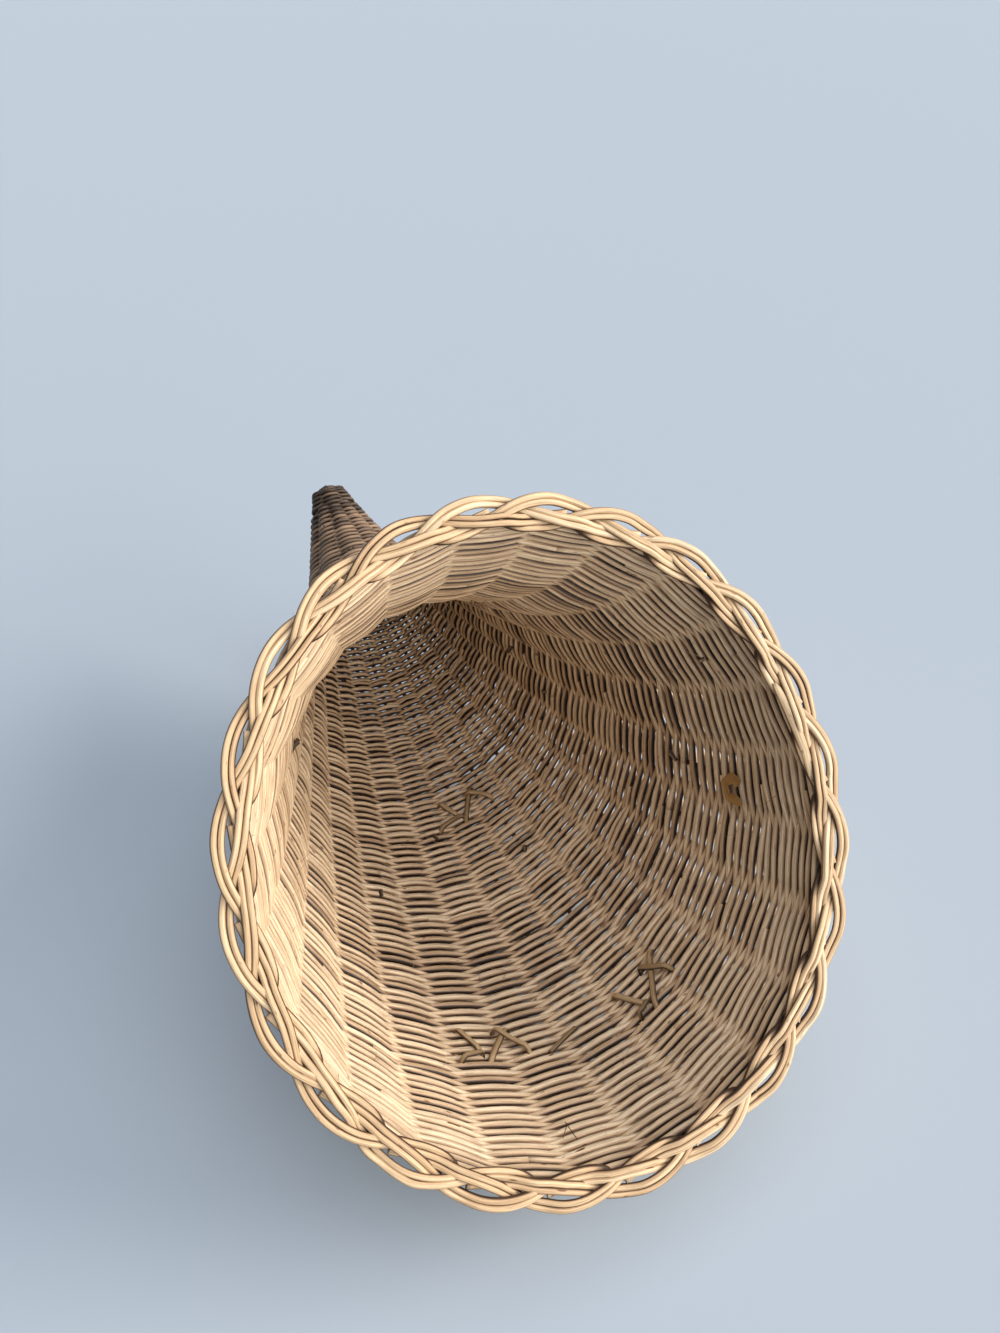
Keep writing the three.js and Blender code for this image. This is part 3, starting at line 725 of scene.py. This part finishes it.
crossed_fibres = [cane(wall(np.array(s), np.radians(turns), np.array(rise)), off_wall, radius=0.22, tone=-1.0)
                  for s, turns, rise in CROSSED]
fibres = [fibre() for _ in range(LOOSE_FIBRES)]
dress(cane_mesh("loose_fibres", fibres + crossed_fibres, border_cane, sides=4))

# %% [markdown]
# A wide, flat, pale rod is tucked in along the inner edge of the border at the right, thinner at its ends. A
# bent box would do for it, but its edges would be sharp. It is one more cane, wider than the rest and a
# third as thick as it is wide, so it takes the same material.

# %% Flat rod
ROD_START, ROD_LENGTH = 21.5, 1.35              # scallops
ROD_OUT, ROD_OUT_GAIN = -6.2, 1.2               # from the oval, and how much further out at its end
ROD_UP, ROD_SINK = -0.1, 0.6                    # off the wall, and how much lower at its end
ROD_STAKE, ROD_TILT = 22, 0.4                   # at that stake its face turns inwards by this share
ROD_END_RADIUS, ROD_SWELL, ROD_TONE, ROD_FLAT = 1.0, 1.4, 0.75, 0.35
t = np.linspace(0, 1, 18)
rod_line = border(ROD_START + ROD_LENGTH * t, ROD_OUT + ROD_OUT_GAIN * t, ROD_UP - ROD_SINK * t**3)
rod_face = unit(off_wall - ROD_TILT * outward(np.zeros(1), np.array([stake_angle(ROD_STAKE)])))
rod = cane(rod_line, rod_face, ROD_END_RADIUS + ROD_SWELL * np.sqrt(np.sin(np.pi * t)), ROD_TONE, ROD_FLAT)
dress(cane_mesh("flat_rod", [rod], border_cane, sides=12))

# %% [markdown]
# On the right a curled chip of bark is caught between two rows. A sculpted lump would hide that it is a thin
# skin. So it is a curled sheet: a grid of points on most of a wavy ring, once for its top and once for its
# lower side, with a rim between the two.

# %% Sizes of the bark chip
CHIP_S, CHIP_TURN = 54.0, np.radians(-9.7)      # its place on the wall
CHIP_START, CHIP_ROUND = np.radians(-120), np.radians(255)  # where its ring begins, and how far round it goes
CHIP_RING, RING_WAVE = 4.4, 0.35                # radius, and how far it is crumpled
CHIP_HALF_WIDTH, WIDTH_WAVE = 2.4, 0.25         # and how much narrower it is in the middle
CHIP_SCALE = 1.2
CHIP_RISE, CHIP_THICKNESS = 5.0, 0.8            # inwards, from the middle of the wall
CURLED_UP, CHIP_TWIST = 0.9, 0.5                # both edges, and from end to end
AROUND, WIDE = 24, 15                           # points of the grid

# %% Bark chip
u, v = np.meshgrid(np.linspace(0, 1, AROUND), np.linspace(-1, 1, WIDE), indexing="ij")
bend = CHIP_START + u * CHIP_ROUND
ring = CHIP_RING + RING_WAVE * np.sin(5 * bend)
reach_in = ring - CHIP_HALF_WIDTH * v * (1 - WIDTH_WAVE * np.cos(bend))
chip_s = CHIP_S + reach_in * np.cos(bend) * CHIP_SCALE
chip_angle = CHIP_TURN + reach_in * np.sin(bend) * CHIP_SCALE / half_sizes(CHIP_S)[0]
rise = CHIP_RISE + CURLED_UP * np.abs(v) ** 2 + CHIP_TWIST * np.sin(3 * u + v)
points = np.concatenate([wall(chip_s, chip_angle, -rise).reshape(-1, 3),
                         wall(chip_s, chip_angle, CHIP_THICKNESS - rise).reshape(-1, 3)])
i, j = np.meshgrid(np.arange(AROUND - 1), np.arange(WIDE - 1), indexing="ij")
a = i * WIDE + j
sheet = np.stack([a, a + 1, a + WIDE + 1, a + WIDE], -1).reshape(-1, 4)
one_side = AROUND * WIDE
edge = np.concatenate([np.arange(WIDE - 1), WIDE - 1 + WIDE * np.arange(AROUND - 1),
                       one_side - 1 - np.arange(WIDE - 1), one_side - WIDE - WIDE * np.arange(AROUND - 1)])
rim = np.stack([edge, np.roll(edge, -1), np.roll(edge, -1) + one_side, edge + one_side], -1)
mesh = bpy.data.meshes.new("bark chip")
mesh.from_pydata(((points + MOUTH_CENTRE) / 1000).tolist(), [],
                 np.concatenate([sheet[:, ::-1], sheet + one_side, rim]).tolist())
mesh.materials.append(rattan_bark)
chip = bpy.data.objects.new("bark_chip", mesh)
bpy.context.scene.collection.objects.link(chip)
dress(chip)
print(chip.name, len(mesh.polygons), "faces")

# %% [markdown]
# ## Floor, light and camera
#
# The photograph was taken from above and to the left of the mouth, with soft window light from the right.
# The floor is a plain pale blue-grey. Area lamps close by would light the floor unevenly, so the light comes
# from sun lamps with a wide angle: the window, the sky over it, and what a pale room sends back.

# %% Floor
FLOOR_CORNERS = [(-9, -9, 0), (9, -9, 0), (9, 14, 0), (-9, 14, 0)]  # in metres, wider than any view
FLOOR_COLOUR = "#b4c2d0"
floor_mesh = bpy.data.meshes.new("floor")
floor_mesh.from_pydata(FLOOR_CORNERS, [], [(0, 1, 2, 3)])
floor = bpy.data.objects.new("floor", floor_mesh)
floor_paint, _, _ = new_material("matt painted board", Base_Color=linear(FLOOR_COLOUR), Roughness=0.9)
floor_mesh.materials.append(floor_paint)
bpy.context.scene.collection.objects.link(floor)
print("floor", tuple(floor.dimensions[:2]), "m")

# %% Room
ROOM_COLOUR = "#e4ebf4"
LIT, SEEN = 0.13, 0.65                          # as a light, and more where it is seen or mirrored
world = bpy.data.worlds.new("soft room")
bpy.context.scene.world = world
world.use_nodes = True
sky = world.node_tree.nodes["Background"]
sky.inputs["Color"].default_value = linear(ROOM_COLOUR)
rays = add_node(world.node_tree, "LightPath").outputs
seen = rays["Is Camera Ray"]
for kind in ("Is Glossy Ray", "Is Transmission Ray"):
    seen = add_node(world.node_tree, "Math", [(seen, 0), (rays[kind], 1)], operation="MAXIMUM").outputs[0]
level = add_node(world.node_tree, "Math", [(seen, 0)], operation="MULTIPLY_ADD")
level.inputs[1].default_value = SEEN
level.inputs[2].default_value = LIT
world.node_tree.links.new(level.outputs[0], sky.inputs["Strength"])
print("room strength", LIT, "as a light,", LIT + SEEN, "where it is seen")

# %% Lamps
LAMPS = {                                       # direction to the lamp, strength, width in degrees, colour
    "low window": ((0.84, -0.36, 0.40), 2.8, 30, "#fff4e8"),
    "high window": ((0.16, -0.62, 0.77), 0.85, 50, "#f8f8ff"),
    "pale wall in front of the mouth": ((0.42, -0.9, 0.06), 3.1, 50, "#fff6ea"),
    "skylight": ((0.12, -0.08, 0.99), 1.15, 60, "#fcfcff"),
}


def sun_lamp(name, towards, strength, softness, colour):
    """Parallel light from that direction, even over the whole floor. Its width softens the shadows."""
    lamp = bpy.data.lights.new(name, "SUN")
    lamp.energy, lamp.angle, lamp.color = strength, np.radians(softness), linear(colour)[:3]
    holder = bpy.data.objects.new(name, lamp)
    back = unit(np.array(towards))
    right = unit(np.cross([0, 0, 1], back))
    turn = np.stack([right, np.cross(back, right), back], 1)
    holder.matrix_world = Matrix(turn.tolist()).to_4x4()
    bpy.context.scene.collection.objects.link(holder)


for name, settings in LAMPS.items():
    sun_lamp(name, *settings)
print("lamps", [light.name for light in bpy.data.lights])

# %% [markdown]
# The camera could be set by eye. But in a wide lens close to the mouth a small error turns the whole horn,
# so it was fitted: to the mouth's oval, the scallops of the border and the tail.

# %% Camera
PLACE = np.array([-119.126, -258.877, 326.209]) + MOUTH_CENTRE
FORWARD = unit(np.array([0.27768, 0.73111, -0.62320]))
RIGHT = unit(np.array([0.91752, -0.39407, -0.05348]))
FOCAL_PIXELS, IMAGE_HEIGHT = 1000, 1333
SENSOR = 36.0                                   # along the picture's height
NEAREST, FARTHEST = 0.01, 50                    # in metres
lens = bpy.data.cameras.new("camera")
lens.sensor_width = SENSOR
lens.lens = SENSOR * FOCAL_PIXELS / IMAGE_HEIGHT
lens.clip_start, lens.clip_end = NEAREST, FARTHEST
camera = bpy.data.objects.new("camera", lens)
turn = np.stack([RIGHT, np.cross(RIGHT, FORWARD), -FORWARD], 1)
camera.matrix_world = Matrix.Translation(PLACE / 1000) @ Matrix(turn.tolist()).to_4x4()
bpy.context.scene.collection.objects.link(camera)
bpy.context.scene.camera = camera
bpy.context.scene.view_settings.view_transform = "Standard"
print("camera at", 1000 * camera.matrix_world.translation, "mm, lens", round(lens.lens, 1), "mm")

# %% [markdown]
# ## Finish
#
# The scene's view layer is brought up to date.

# %% Finish
bpy.context.view_layer.update()
